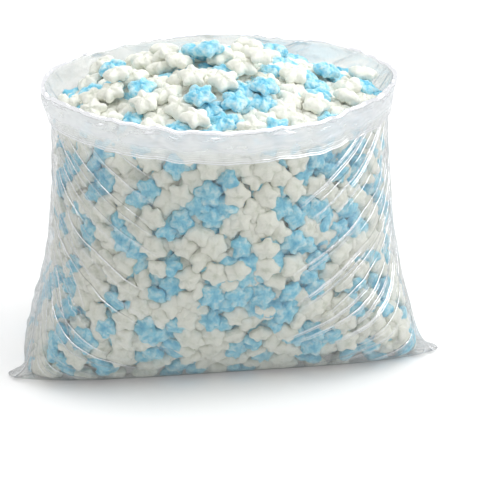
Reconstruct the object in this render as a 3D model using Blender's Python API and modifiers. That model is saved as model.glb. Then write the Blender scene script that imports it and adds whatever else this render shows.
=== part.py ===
"""An open polythene bag that stands on its sealed base, with its rim folded out as a cuff.

It is filled to a heap with star-shaped foam pieces. The bag is one piece of film. The stars that
lie free on top of the heap are solids of their own, and the filling below them is one solid with
the same stars standing out of its top and lumps at the stars' pitch down its sides.

X runs along the bag's width, Y from front to rear, Z up. The origin is on the floor, under the
middle of the mouth. Lengths are in metres.
"""

import math
import random

import bmesh
import bpy
from mathutils import Matrix, Vector
from mathutils.bvhtree import BVHTree

# Mouth and cuff, outside sizes
RIM_HEIGHT = 0.2895  # from the floor to the top of the rim's fold, at the rear
RIM_DIP = 0.003  # how much lower the rim hangs at the middle of the front
MOUTH_WIDTH = 0.345
MOUTH_DEPTH = 0.286
FOLD_RADIUS = 0.0026  # of the soft fold at the rim
CUFF_DROP = 0.031  # from the fold down to the cuff's hem
CUFF_FLARE = 0.0015  # how far the hem stands inside the fold
CUFF_END_FLARE = 0.0030  # how much further it does at both ends
RIM_CRINKLE = 0.0013  # how far the rim and the hem wander up, down, in and out

# Wall of the tube, outside sizes
NECK_HEIGHT = 0.242
NECK_WIDTH = 0.326
NECK_DEPTH = 0.270
BELLY_HEIGHT = 0.165  # where front and rear stand furthest out
BELLY_DEPTH = 0.278
END_FLARE = 0.038  # how much further out each end stands at the floor than at the neck
FOOT_WIDTH = 0.370  # of the flat that bears on the floor
FOOT_DEPTH = 0.102
FOOT_BACK = 0.010  # the base lies this far behind the mouth
FOOT_SQUARENESS = 5.0  # exponent of the outline at the floor, where 2 is an ellipse
MOUTH_SQUARENESS = 2.0
FRONT_SQUARENESS = 1.65  # of the mouth's front half, which is drawn to a point at both ends
FILM = 0.0005  # thickness

# Slanting folds, which are deepest near both ends of the bag
FOLD_DEPTH = 0.0030
FOLD_LEAST = 0.5  # depth of the shallowest fold, as a share of the deepest
FOLD_MIDDLE = 0.1  # share of the depth that is left at the middle of the front and the rear
FOLD_FADE = 1.5  # exponent of that fade round the bag
FOLD_NECK = 0.3  # share of the depth that is left at the neck
FOLD_START = 0.033  # height in which the folds grow from the base
FOLD_LEAN = 0.20  # angle that a fold runs round the bag between the neck and the floor, radians
FOLD_PITCH = 3  # columns of the wall from fold to fold

# Corners of the bottom seal, which stick out as flat ears
EAR_REACH = 0.032
EAR_RISE = 0.010  # the height in which an ear thins out
EAR_ANGLE = math.radians(36)  # from the end of the bag towards its front
EAR_SPREAD = math.radians(12)
EAR_FOOT = 0.6  # share of an ear's reach that bears on the floor

# Foam stars
STAR_SPAN = 0.028  # over two tips that aren't neighbours
STAR_POINTS = 5
STAR_WAIST = 0.0094  # from the centre to the notch between two points
STAR_THICKNESS = 0.014
STAR_EDGE = 0.006  # thickness at the outline
STAR_SPACING = 0.027  # from lump to lump, where stars are pressed flat against the film
WHITE_STARS = 41
BLUE_STARS = 17

# Heap
HEAP_EDGE = 0.0295  # how far below the rim the filling meets the film
HEAP_RISE = 0.040  # from there up to the top of the filling, under the free stars
HEAP_SHARPNESS = 1.6  # exponent of the heap's profile, where more is flatter on top
FUSED_STARS = 54
FUSED_LIFT = 0.0030  # height of a fused star's centre above the heap's surface
FUSED_TILT = math.radians(12)  # the most that a fused star leans away from the heap's surface
FREE_TILT = math.radians(28)
TRIES = 24  # ways of lying there that a free star tries
TRY_SHARE = 0.14  # how far it strays in them, as a share of the way to the heap's edge
TRY_TURN = 0.14  # and round the heap, radians

# Fits
CLEARANCE = 0.0003  # between solids that touch
STAR_GAP = 0.0028  # between the points of the outermost stars and the film
FILL_CLEARANCE = 0.0032  # between the lumps of the filling and the flat of the film
LUMP = 0.0050  # how far a lump stands out of the filling
LUMP_SWAY = 0.2  # how far a lump's corners stray, as a share of the spacing

# Fineness of the meshes
FILM_COLUMNS = 48
COLUMN_CROWD = 0.2  # how much closer together the columns stand at both ends
FILM_BAND = 0.026  # between the rings of the wall
BASE_TURNS = (11, 22, 35)  # rings where the wall turns up off the floor, in degrees of that turn
CUFF_BANDS = 2
HEAP_BAND = 0.034  # between the rings of the heap's surface
SAME_PLANE = math.radians(3)  # faces of the filling that differ less than this become one
SHORTEST_EDGE = 0.00001  # an edge of the filling under this length becomes a point
SMOOTH_ANGLE = math.radians(60)  # of the film, whose hem and seal stay sharp
SEED = 7
FREE_SEED = 28  # of how the free stars lie


def smooth(share):
    """0 below 0, 1 above 1, and an S curve between."""
    share = min(max(share, 0.0), 1.0)
    return share * share * (3 - 2 * share)


def half_sizes(z):
    """Half the width and half the depth of the wall at a height."""
    to_neck = min(z / NECK_HEIGHT, 1.0)
    width = NECK_WIDTH / 2 + END_FLARE * (1 - to_neck) ** 2
    under = min(z / BELLY_HEIGHT, 1.0)
    depth = FOOT_DEPTH / 2 + (BELLY_DEPTH - FOOT_DEPTH) / 2 * math.sqrt(1 - (1 - under) ** 2)
    depth -= (BELLY_DEPTH - NECK_DEPTH) / 2 * smooth((z - BELLY_HEIGHT) / (NECK_HEIGHT - BELLY_HEIGHT))
    to_rim = max(0.0, z - NECK_HEIGHT) / (RIM_HEIGHT - NECK_HEIGHT)
    width += (MOUTH_WIDTH / 2 - 2 * FOLD_RADIUS - NECK_WIDTH / 2) * to_rim**2
    depth += (MOUTH_DEPTH / 2 - 2 * FOLD_RADIUS - NECK_DEPTH / 2) * to_rim**2
    return width, depth


def outline_point(angle, z, width, depth):
    """The point at an angle from the right-hand end, on a ring of these half sizes."""
    low = 1 - smooth(z / BELLY_HEIGHT)
    high = smooth((z - BELLY_HEIGHT) / (RIM_HEIGHT - BELLY_HEIGHT))
    across, along = math.cos(angle), math.sin(angle)
    power = MOUTH_SQUARENESS + (FOOT_SQUARENESS - MOUTH_SQUARENESS) * low**2
    if along < 0:
        power += (FRONT_SQUARENESS - MOUTH_SQUARENESS) * high
    scale = (abs(across) ** power + abs(along) ** power) ** (-1 / power)
    return Vector((width * scale * across, depth * scale * along + FOOT_BACK * low, z))


def leaned(angle, z):
    """The angle of a wall column at a height: the columns lean with the folds."""
    return angle + FOLD_LEAN * math.sin(2 * angle) * (1 - min(z / NECK_HEIGHT, 1.0))


def wall_point(angle, z):
    """A point on the plain outside of the wall, without folds and ears."""
    return outline_point(leaned(angle, z), z, *half_sizes(z))


def wall_normal(angle, z):
    """The outward direction of the plain wall."""
    step_angle, step_z = 0.01, 0.0005
    round_it = wall_point(angle + step_angle, z) - wall_point(angle - step_angle, z)
    up_it = wall_point(angle, z + step_z) - wall_point(angle, max(z - step_z, 0.0))
    return round_it.cross(up_it).normalized()


def ear_at(angle, z):
    """How far the seal's corners pull the film outwards."""
    reach = 0.0
    for end in (-EAR_ANGLE, EAR_ANGLE - math.pi):
        turn = math.remainder(angle - end, 2 * math.pi)
        reach += math.exp(-((turn / EAR_SPREAD) ** 2))
    return EAR_REACH * reach * math.exp(-z / EAR_RISE)


def column_angles(count):
    """Angles round the bag, closer together at both ends, where the folds are."""
    turns = (2 * math.pi * index / count for index in range(count))
    return [turn - COLUMN_CROWD * math.sin(2 * turn) for turn in turns]


def loft(rings, closed_end=None):
    """A mesh through rings of equally many points, with its first ring filled in.

    closed_end is a point that the last ring closes to.
    """
    mesh = bmesh.new()
    rows = [[mesh.verts.new(point) for point in ring] for ring in rings]
    mesh.faces.new(reversed(rows[0]))
    for low, high in zip(rows, rows[1:]):
        for index in range(len(low)):
            beside = (index + 1) % len(low)
            mesh.faces.new((low[index], low[beside], high[beside], high[index]))
    if closed_end is not None:
        top = mesh.verts.new(closed_end)
        for index, corner in enumerate(rows[-1]):
            mesh.faces.new((corner, rows[-1][(index + 1) % len(rows[-1])], top))
    mesh.normal_update()
    return mesh


def new_object(name, mesh, collection, material):
    """An object of a bmesh, which is used up."""
    data = bpy.data.meshes.new(name)
    mesh.to_mesh(data)
    mesh.free()
    data.materials.append(material)
    obj = bpy.data.objects.new(name, data)
    collection.objects.link(obj)
    return obj


def new_material(name, colour, roughness, alpha=1.0):
    material = bpy.data.materials.new(name)
    material.use_nodes = True
    material.diffuse_color = (*colour, alpha)
    shader = material.node_tree.nodes["Principled BSDF"]
    shader.inputs["Base Color"].default_value = (*colour, 1.0)
    shader.inputs["Roughness"].default_value = roughness
    shader.inputs["Metallic"].default_value = 0.0
    shader.inputs["Alpha"].default_value = alpha
    return material


def fold_depth(angle, z):
    """How deep the folds are at a place on the wall."""
    growing = smooth(z / FOLD_START)
    to_neck = smooth((z - BELLY_HEIGHT) / (NECK_HEIGHT - BELLY_HEIGHT))
    beside = abs(math.cos(angle)) ** FOLD_FADE
    slack = FOLD_MIDDLE + (1 - FOLD_MIDDLE) * beside
    return FOLD_DEPTH * slack * growing * (1 - (1 - FOLD_NECK) * to_neck)


def foot_ring(angles):
    """The outline that bears on the floor, drawn out a little to the ears."""
    ring = []
    for angle in angles:
        turn = leaned(angle, 0.0)
        point = outline_point(turn, 0.0, FOOT_WIDTH / 2, FOOT_DEPTH / 2)
        point.x += math.copysign(EAR_FOOT * ear_at(turn, 0.0), math.cos(angle))
        ring.append(point)
    return ring


def wall_rings(angles, rng):
    """The rings of the wall's outside, from the floor up to just under the rim's fold."""
    shares = [rng.uniform(FOLD_LEAST, 1.0) for _ in range(2 * len(angles))]
    heights = [BELLY_HEIGHT * (1 - math.cos(math.radians(turn))) for turn in BASE_TURNS]
    start = heights[-1]
    bands = round((NECK_HEIGHT - start) / FILM_BAND)
    heights += [start + (NECK_HEIGHT - start) * (band + 1) / bands for band in range(bands)]
    heights.append((NECK_HEIGHT + RIM_HEIGHT) / 2)
    rings = [foot_ring(angles)]
    for row, z in enumerate(heights):
        ring = []
        for index, angle in enumerate(angles):
            away = index if math.sin(2 * angle) > 0 else len(angles) - index
            fold, place = divmod(away + row, FOLD_PITCH)
            point = wall_point(angle, z)
            if place == 0:
                point -= wall_normal(angle, z) * fold_depth(angle, z) * shares[fold]
            point.x += math.copysign(ear_at(leaned(angle, z), z), point.x)
            point.z -= dip(angle) * smooth((z - BELLY_HEIGHT) / (RIM_HEIGHT - BELLY_HEIGHT))
            ring.append(point)
        rings.append(ring)
    return rings


def dip(angle):
    """How much lower the rim hangs at an angle than at the rear."""
    return RIM_DIP * (1 - math.sin(angle)) / 2


def cuff_rings(angles, rng):
    """The rings over the rim's fold and down the cuff, on the side of it that faces the wall."""
    centre_width = MOUTH_WIDTH / 2 - FOLD_RADIUS
    centre_depth = MOUTH_DEPTH / 2 - FOLD_RADIUS
    under = FOLD_RADIUS - FILM
    low = RIM_HEIGHT - FOLD_RADIUS
    places = [(-under, low), (0.0, low + under), (under, low)]
    for band in range(1, CUFF_BANDS + 1):
        share = band / CUFF_BANDS
        places.append((under - CUFF_FLARE * share, low - (CUFF_DROP - FOLD_RADIUS) * share))
    crinkles = [(rng.uniform(-1, 1), rng.uniform(-2, 0)) for _ in angles]
    rings = []
    for out, z in places:
        ring = []
        for angle, (sway, hang) in zip(angles, crinkles):
            shift = out + RIM_CRINKLE / 2 * sway
            drawn_in = CUFF_END_FLARE * max(0.0, low - z) / CUFF_DROP * math.cos(angle) ** 2
            point = outline_point(angle, z, centre_width + shift - drawn_in, centre_depth + shift)
            point.z += RIM_CRINKLE * hang - dip(angle)
            ring.append(point)
        rings.append(ring)
    return rings


def make_film(collection, material):
    """The bag: an open surface from the base over the rim to the cuff's hem, then its thickness."""
    rng = random.Random(SEED)
    angles = column_angles(FILM_COLUMNS)
    mesh = loft(wall_rings(angles, rng) + cuff_rings(angles, rng))
    bag = new_object("film_bag", mesh, collection, material)
    thickness = bag.modifiers.new("film thickness", "SOLIDIFY")
    thickness.thickness = FILM
    thickness.offset = -1
    thickness.use_even_offset = True
    bpy.ops.object.select_all(action="DESELECT")
    bag.select_set(True)
    bpy.context.view_layer.objects.active = bag
    bpy.ops.object.shade_smooth()
    bag.data.set_sharp_from_angle(angle=SMOOTH_ANGLE)


def star_mesh():
    """A puffy star: a zigzag disc with its two faces drawn up to a crown."""
    mesh = bmesh.new()
    corners = 2 * STAR_POINTS
    bmesh.ops.create_circle(mesh, cap_ends=True, segments=corners, radius=1.0)
    mesh.verts.ensure_lookup_table()
    for index, corner in enumerate(mesh.verts):
        corner.co *= star_tip() if index % 2 else STAR_WAIST
        corner.co.z = -STAR_EDGE / 2
    front = bmesh.ops.extrude_face_region(mesh, geom=mesh.faces[:])["geom"]
    raised = [item for item in front if isinstance(item, bmesh.types.BMVert)]
    bmesh.ops.translate(mesh, verts=raised, vec=(0, 0, STAR_EDGE))
    bmesh.ops.recalc_face_normals(mesh, faces=mesh.faces[:])
    faces = [face for face in mesh.faces if len(face.verts) == corners]
    bmesh.ops.poke(mesh, faces=faces, offset=(STAR_THICKNESS - STAR_EDGE) / 2)
    bmesh.ops.triangulate(mesh, faces=mesh.faces[:])
    return mesh


def heap_sizes():
    """Half the width and depth of the filling where it meets the film, and that height."""
    edge = RIM_HEIGHT - HEAP_EDGE
    width, depth = half_sizes(edge)
    inset = FILM + FILL_CLEARANCE + LUMP
    return width - inset, depth - inset, edge


def heap_point(share, angle):
    """A point on the heap's surface, share of the way from its middle to its edge."""
    width, depth, edge = heap_sizes()
    point = outline_point(angle, edge, width * share, depth * share)
    point.z += HEAP_RISE * (1 - share**HEAP_SHARPNESS)
    return point


def heap_normal(share, angle):
    step = 0.02
    share = max(share, step)
    outwards = heap_point(share + step, angle) - heap_point(share - step, angle)
    sideways = Vector((0, 0, 1)).cross(outwards)
    return outwards.cross(sideways).normalized()


def star_place(share, angle, tilt, rng):
    """A turned star's matrix on the heap, leaning up to tilt from the heap's surface."""
    lie = heap_normal(share, angle).to_track_quat("Z", "Y").to_matrix().to_4x4()
    side = Matrix.Rotation(rng.uniform(0, 2 * math.pi), 4, "Z") @ Vector((1, 0, 0))
    lean = Matrix.Rotation(rng.uniform(0, tilt), 4, side)
    spin = Matrix.Rotation(rng.uniform(0, 2 * math.pi), 4, "Z")
    return Matrix.Translation(heap_point(share, angle)) @ lie @ lean @ spin


def heap_places():
    """Places spread evenly over the heap by the golden angle: those of fused stars, then the rest."""
    count = FUSED_STARS + WHITE_STARS + BLUE_STARS
    golden = math.pi * (3 - math.sqrt(5))
    places = [(math.sqrt((index + 0.5) / count), index * golden) for index in range(count)]
    random.Random(SEED + 3).shuffle(places)
    return places[:FUSED_STARS], places[FUSED_STARS:]


def star_tip():
    """From a star's centre to the end of a point."""
    return STAR_SPAN / 2 / math.sin(math.pi * (STAR_POINTS - 1) / 2 / STAR_POINTS)


def heap_share(share, angle):
    """Where on the heap a star lies that is share of the way out to the film."""
    width, depth, _ = heap_sizes()
    film_width, film_depth = map(min, half_sizes(NECK_HEIGHT), half_sizes(RIM_HEIGHT))
    room = FILM + STAR_GAP + star_tip()
    x = (film_width - room) * share * math.cos(angle) / width
    y = (film_depth - room) * share * math.sin(angle) / depth
    return math.hypot(x, y), math.atan2(y, x)


def filling_rings(rng):
    """The filling's outside: flat foot, sides, then the heap's surface."""
    girth = math.pi * (NECK_WIDTH + NECK_DEPTH) / 2
    columns = 2 * round(girth / STAR_SPACING / 2)
    turns = [2 * math.pi * index / columns for index in range(columns)]
    floor = FILM + CLEARANCE
    inset = FILM + FILL_CLEARANCE + LUMP
    edge = heap_sizes()[2]
    foot = (FOOT_WIDTH / 2 - 2 * inset, FOOT_DEPTH / 2 - inset)
    lift = Vector((0, 0, floor))
    rings = [[outline_point(leaned(turn, 0.0), 0.0, *foot) + lift for turn in turns]]
    steps = round(edge / STAR_SPACING)
    sway = LUMP_SWAY * STAR_SPACING
    for step in range(1, steps + 1):
        z = edge * step / steps
        ring = []
        for turn in turns:
            near = turn + rng.uniform(-sway, sway) * 2 * math.pi / girth
            height = z + rng.uniform(-sway, sway) * (step < steps)
            ring.append(wall_point(near, height) - wall_normal(near, height) * inset)
        rings.append(ring)
    width, depth, _ = heap_sizes()
    bands = max(2, round((width + depth) / 2 / HEAP_BAND))
    for band in range(1, bands):
        share = 1 - band / bands
        rings.append([heap_point(share, turn) for turn in turns])
    return rings


def fill_pockets(data):
    """The mesh with only its outer shell: the air pockets closed in under the stars are foam too."""
    mesh = bmesh.new()
    mesh.from_mesh(data)
    left = set(mesh.verts)
    shells = []
    while left:
        shell, todo = set(), [left.pop()]
        while todo:
            corner = todo.pop()
            shell.add(corner)
            beside = {edge.other_vert(corner) for edge in corner.link_edges} & left
            left -= beside
            todo.extend(beside)
        shells.append(shell)
    outer = max(shells, key=len)
    pockets = [corner for corner in mesh.verts if corner not in outer]
    bmesh.ops.delete(mesh, geom=pockets, context="VERTS")
    bmesh.ops.remove_doubles(mesh, verts=mesh.verts[:], dist=SHORTEST_EDGE)
    bmesh.ops.dissolve_limit(mesh, angle_limit=SAME_PLANE, verts=mesh.verts[:], edges=mesh.edges[:])
    mesh.to_mesh(data)
    mesh.free()
    return data


def make_filling(collection, cutters, material):
    """The stars below the free ones, fused to one solid."""
    rng = random.Random(SEED + 1)
    rings = filling_rings(rng)
    mesh = loft(rings, heap_point(0.0, 0.0))
    mesh.faces.ensure_lookup_table()
    edge = heap_sizes()[2]
    sides = [face for face in mesh.faces if len(face.verts) == 4 and face.calc_center_median().z < edge]
    bmesh.ops.poke(mesh, faces=sides, offset=LUMP)
    bmesh.ops.triangulate(mesh, faces=mesh.faces[:])
    filling = new_object("filling", mesh, collection, material)
    shape = bpy.data.meshes.new("fused_star")
    star = star_mesh()
    star.to_mesh(shape)
    star.free()
    for index, (share, angle) in enumerate(heap_places()[0]):
        fused = bpy.data.objects.new(f"fused_star_{index + 1:03d}", shape)
        place = star_place(*heap_share(share, angle), FUSED_TILT, rng)
        fused.matrix_world = Matrix.Translation((0, 0, FUSED_LIFT)) @ place
        fused.hide_render = True
        fused.display_type = "WIRE"
        cutters.objects.link(fused)
    union = filling.modifiers.new("stars of the heap", "BOOLEAN")
    union.operation = "UNION"
    union.solver = "EXACT"
    union.operand_type = "COLLECTION"
    union.collection = cutters
    bpy.context.view_layer.update()
    joined = bpy.data.meshes.new_from_object(filling.evaluated_get(bpy.context.evaluated_depsgraph_get()))
    filling.modifiers.remove(union)
    filling.data = fill_pockets(joined)
    return filling


def placed(points, matrix):
    return [matrix @ point for point in points]


def drop_star(points, faces, place, obstacles):
    """The matrix of a star let down from above until it touches, less the clearance.

    It comes down in steps, and the last step is halved until it is under a tenth of the clearance.
    """

    def hits(z):
        tree = BVHTree.FromPolygons(placed(points, Matrix.Translation((0, 0, z)) @ place), faces)
        return any(tree.overlap(obstacle) for obstacle in obstacles)

    step = STAR_EDGE / 4
    high = 4 * STAR_THICKNESS
    while hits(high):
        high += STAR_THICKNESS
    while not hits(high - step):
        high -= step
    low = high - step
    while high - low > CLEARANCE / 10:
        middle = (low + high) / 2
        if hits(middle):
            low = middle
        else:
            high = middle
    return Matrix.Translation((0, 0, high + CLEARANCE)) @ place


def make_free_stars(collection, filling, white, blue):
    """The stars that lie free on the heap, each in the lowest of a few ways of lying there."""
    rng = random.Random(FREE_SEED)
    graph = bpy.context.evaluated_depsgraph_get()
    obstacles = [BVHTree.FromObject(filling, graph)]
    star = star_mesh()
    shapes = {}
    for name, material in (("star_white", white), ("star_blue", blue)):
        shapes[name] = bpy.data.meshes.new(name)
        star.to_mesh(shapes[name])
        shapes[name].materials.append(material)
    points = [corner.co.copy() for corner in star.verts]
    faces = [tuple(corner.index for corner in face.verts) for face in star.faces]
    star.free()
    names = ["star_white"] * WHITE_STARS + ["star_blue"] * BLUE_STARS
    rng.shuffle(names)
    made = {"star_white": 0, "star_blue": 0}
    for name, (share, angle) in zip(names, heap_places()[1]):
        tries = []
        for _ in range(TRIES):
            near = max(0.0, min(share + rng.uniform(-TRY_SHARE, TRY_SHARE), 1.0))
            turn = angle + rng.uniform(-TRY_TURN, TRY_TURN)
            lying = star_place(*heap_share(near, turn), FREE_TILT, rng)
            place = drop_star(points, faces, lying, obstacles)
            tries.append((place.translation.z - lying.translation.z, len(tries), place))
        best = min(tries)[2]
        obstacles.append(BVHTree.FromPolygons(placed(points, best), faces))
        made[name] += 1
        obj = bpy.data.objects.new(f"{name}_{made[name]:02d}", shapes[name])
        obj.matrix_world = best
        collection.objects.link(obj)


def clear_scene():
    for obj in list(bpy.data.objects):
        bpy.data.objects.remove(obj, do_unlink=True)


def main():
    clear_scene()
    bag = bpy.data.collections.new("bag_of_foam_stars")
    cutters = bpy.data.collections.new("fused_stars")
    for collection in (bag, cutters):
        bpy.context.scene.collection.children.link(collection)
    clear_film = new_material("clear_polythene", (0.86, 0.88, 0.90), 0.18, alpha=0.3)
    white_foam = new_material("white_foam", (0.90, 0.90, 0.84), 0.85)
    blue_foam = new_material("pale_blue_foam", (0.28, 0.62, 0.83), 0.85)
    make_film(bag, clear_film)
    filling = make_filling(bag, cutters, white_foam)
    bpy.context.view_layer.update()
    make_free_stars(bag, filling, white_foam, blue_foam)


main()
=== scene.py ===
import bisect
import math
import random

import bmesh
import bpy
from mathutils import Matrix, Vector, noise


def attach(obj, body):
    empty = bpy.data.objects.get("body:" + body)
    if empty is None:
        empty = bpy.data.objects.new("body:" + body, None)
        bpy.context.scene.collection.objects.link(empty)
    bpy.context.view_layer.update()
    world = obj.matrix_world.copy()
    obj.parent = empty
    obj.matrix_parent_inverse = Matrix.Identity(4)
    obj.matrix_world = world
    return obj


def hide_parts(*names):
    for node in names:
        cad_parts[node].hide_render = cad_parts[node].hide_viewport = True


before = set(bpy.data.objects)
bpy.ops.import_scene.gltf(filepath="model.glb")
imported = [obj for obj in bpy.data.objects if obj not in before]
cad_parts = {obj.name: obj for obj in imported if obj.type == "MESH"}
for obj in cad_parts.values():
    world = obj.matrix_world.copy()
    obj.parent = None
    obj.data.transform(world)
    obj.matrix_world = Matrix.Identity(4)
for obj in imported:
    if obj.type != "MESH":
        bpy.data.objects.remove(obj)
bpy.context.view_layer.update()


# Stars pressed against the film
# Moulded foam stars, 28 mm over their points, white and pale blue in one mix. The film
# presses the outer ones flat, and they lie turned at random, with their points over one another.

# The bag's form holds them. It is a tube that runs from a flat foot over a round belly to an
# oval mouth, and it is stood open by what fills it. Metres, with the floor at zero.
RIM_HEIGHT = 0.2895  # from the floor to the top of the rim's fold, at the rear
MOUTH_WIDTH = 0.345
MOUTH_DEPTH = 0.286
FOLD_RADIUS = 0.0026  # of the soft fold at the rim
NECK_HEIGHT = 0.242
NECK_WIDTH = 0.326
NECK_DEPTH = 0.270
BELLY_HEIGHT = 0.165  # where front and rear stand furthest out
BELLY_DEPTH = 0.278
END_FLARE = 0.038  # how much further out each end stands at the floor than at the neck
FOOT_DEPTH = 0.102  # of the flat that bears on the floor
FOOT_BACK = 0.010  # the base lies this far behind the mouth
FOOT_SQUARENESS = 5.0  # exponent of the outline at the floor, where 2 is an ellipse
MOUTH_SQUARENESS = 2.0
FRONT_SQUARENESS = 1.65  # of the mouth's front half, which is drawn to a point at both ends
FOLD_LEAN = 0.20  # angle that a fold runs round the bag between the neck and the floor, radians


def smooth(share):
    """0 below 0, 1 above 1, and an S curve between."""
    share = min(max(share, 0.0), 1.0)
    return share * share * (3 - 2 * share)


def half_sizes(z):
    """Half the width and half the depth of the wall at a height."""
    to_neck = min(z / NECK_HEIGHT, 1.0)
    width = NECK_WIDTH / 2 + END_FLARE * (1 - to_neck) ** 2
    under = min(z / BELLY_HEIGHT, 1.0)
    depth = FOOT_DEPTH / 2 + (BELLY_DEPTH - FOOT_DEPTH) / 2 * math.sqrt(1 - (1 - under) ** 2)
    depth -= (BELLY_DEPTH - NECK_DEPTH) / 2 * smooth((z - BELLY_HEIGHT) / (NECK_HEIGHT - BELLY_HEIGHT))
    to_rim = max(0.0, z - NECK_HEIGHT) / (RIM_HEIGHT - NECK_HEIGHT)
    width += (MOUTH_WIDTH / 2 - 2 * FOLD_RADIUS - NECK_WIDTH / 2) * to_rim**2
    depth += (MOUTH_DEPTH / 2 - 2 * FOLD_RADIUS - NECK_DEPTH / 2) * to_rim**2
    return width, depth


def squareness(z, front):
    """The exponent of the outline at a height, where 2 is an ellipse."""
    low = 1 - smooth(z / BELLY_HEIGHT)
    high = smooth((z - BELLY_HEIGHT) / (RIM_HEIGHT - BELLY_HEIGHT)) * front
    return (MOUTH_SQUARENESS + (FOOT_SQUARENESS - MOUTH_SQUARENESS) * low**2
            + (FRONT_SQUARENESS - MOUTH_SQUARENESS) * high)


def outline_point(angle, z, width, depth):
    """The point at an angle from the right-hand end, on a ring of these half sizes."""
    across, along = math.cos(angle), math.sin(angle)
    power = squareness(z, along < 0)
    scale = (abs(across) ** power + abs(along) ** power) ** (-1 / power)
    back = FOOT_BACK * (1 - smooth(z / BELLY_HEIGHT))
    return Vector((width * scale * across, depth * scale * along + back, z))


def leaned(angle, z):
    """The angle of a wall column at a height: the columns lean with the folds."""
    return angle + FOLD_LEAN * math.sin(2 * angle) * (1 - min(z / NECK_HEIGHT, 1.0))


def wall_point(angle, z):
    """A point on the plain outside of the wall, without folds and ears."""
    return outline_point(leaned(angle, z), z, *half_sizes(z))


def wall_normal(angle, z):
    """The outward direction of the plain wall."""
    round_it = wall_point(angle + 0.01, z) - wall_point(angle - 0.01, z)
    up_it = wall_point(angle, z + 0.0005) - wall_point(angle, max(z - 0.0005, 0.0))
    return round_it.cross(up_it).normalized()


STAR_TIP = 0.0150  # from the centre to a point
STAR_WAIST = 0.0109  # from the centre to the notch between two points
STAR_POINTS = 5
STAR_SHARPNESS = 1.6  # exponent of a point's outline, where more is narrower
STAR_UNEVEN = 0.14  # how far the outline wanders, as a share of itself
STAR_HALF = 0.0070  # half the thickness at the crown
STAR_RIM_HALF = 0.0052  # and towards the outline, before that is rounded
STAR_NOTCH = 0.80  # share of the thickness that is left between two points
STAR_FULLNESS = 0.72  # exponent of the way from the crown out, where less is flatter on top
STAR_DOME = 0.85  # exponent of the height over it
DIMPLE = 0.12  # depth of the dimple in the crown, as a share of STAR_HALF
DIMPLE_RADIUS = 0.0035
LUMPS = ((0.8, 190), (0.7, 360))  # strength of each size of lump, and how many to a metre
FLATTENED = 2.2  # how much the lumps' direction leans to the crown
SHADE_START = 0.48  # place on a foam's scale of colours, from 0, deep, to 1, light
PAINTED_LIGHT_AND_SHADE_OF_LUMPS = 0.42  # painted light and shade: what high lumps and points add to it, and low lumps, dimple and flanks take from it
PAINTED_LIGHT_OF_POINTS = 0.32
PAINTED_SHADE_OF_DIMPLE = 2.2
PAINTED_SHADE_OF_FLANK = 0.12
PAINTED_SHADE_OF_PRESSED_FLANK = 0.45
FLANK_START = 0.72  # share of the way out where the painted shade of a star's outline begins
WALL_ROUGH = 0.0014  # height of the lumps of the stars at the wall
BLUE_ROUGHER = 1.5  # how much higher they are on blue stars
FILM_ROOM = 0.0012  # between the film's outside and the stars pressed against it
LUMP_PITCH = 0.027  # between the CAD filling's lumps
LUMP_SWAY = 0.2  # how far their corners stray, as a share of the pitch
LUMP_COLUMNS = 34
LUMP_ROWS = 10
LUMP_START = 0.0008  # height of their lowest corners
FOOT_STARS = 44
FOOT_STAR_HEIGHT = 0.007
HEAP_EDGE = 0.0295  # how far below the rim the filling meets the film
TURN_STRAY = 0.02  # how far a star strays round the bag, radians
HEIGHT_STRAY = 0.003
LEAST_HEIGHT = 0.002
LEAST_CENTRE = 0.0075  # height of the lowest stars' centres
STAR_SCALES = (0.86, 1.06)
CAD_SEED = 7
WHITE_SHARE = 0.6
NEIGHBOURS_WITHIN = 0.034  # how far off the stars lie that a star's colour looks at
MIXING = 0.10  # how strongly it turns to the colour that they lack
# Each foam's colours run from deep to light. Painted light and shade and random mottling set where a
# corner lies between them.
WHITE_LIGHT = "F3F4EA"
WHITE_DEEP = "D6DACB"
BLUE_LIGHT = "DDF5FA"
BLUE_MIDDLE = "93D9EF"
BLUE_DEEP = "48B2DA"
PATCH = 1 / 180  # size of the foam's darker and lighter patches, about 5.6 mm
MOTTLING = 0.28  # how far cells and patches move the foam's colour on its scale
LIGHT_REACH = 0.003  # how far light spreads inside the foam


def linear(hexed):
    """An sRGB hex colour as linear red, green, blue and an alpha of 1."""
    parts = [int(hexed[at:at + 2], 16) / 255 for at in (0, 2, 4)]
    return (*((p / 12.92 if p <= 0.04045 else ((p + 0.055) / 1.055) ** 2.4) for p in parts), 1.0)


def add(tree, kind, inputs=(), **settings):
    """Add a shader node with its settings and its inputs, which go by name or in their order.

    An input is a plain value, or is linked: an output of another node, or a node's first output.
    """
    made = tree.nodes.new("ShaderNode" + kind)
    for name, value in settings.items():
        setattr(made, name, value)
    named = inputs if isinstance(inputs, dict) else dict(enumerate(inputs))
    for name, value in named.items():
        if isinstance(value, bpy.types.Node):
            value = value.outputs[0]
        if isinstance(value, bpy.types.NodeSocket):
            tree.links.new(value, made.inputs[name])
        else:
            made.inputs[name].default_value = value
    return made


def new_material(name):
    """An empty node material and its output node."""
    material = bpy.data.materials.new(name)
    material.use_nodes = True
    material.node_tree.nodes.clear()
    return material, material.node_tree, add(material.node_tree, "OutputMaterial")


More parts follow.
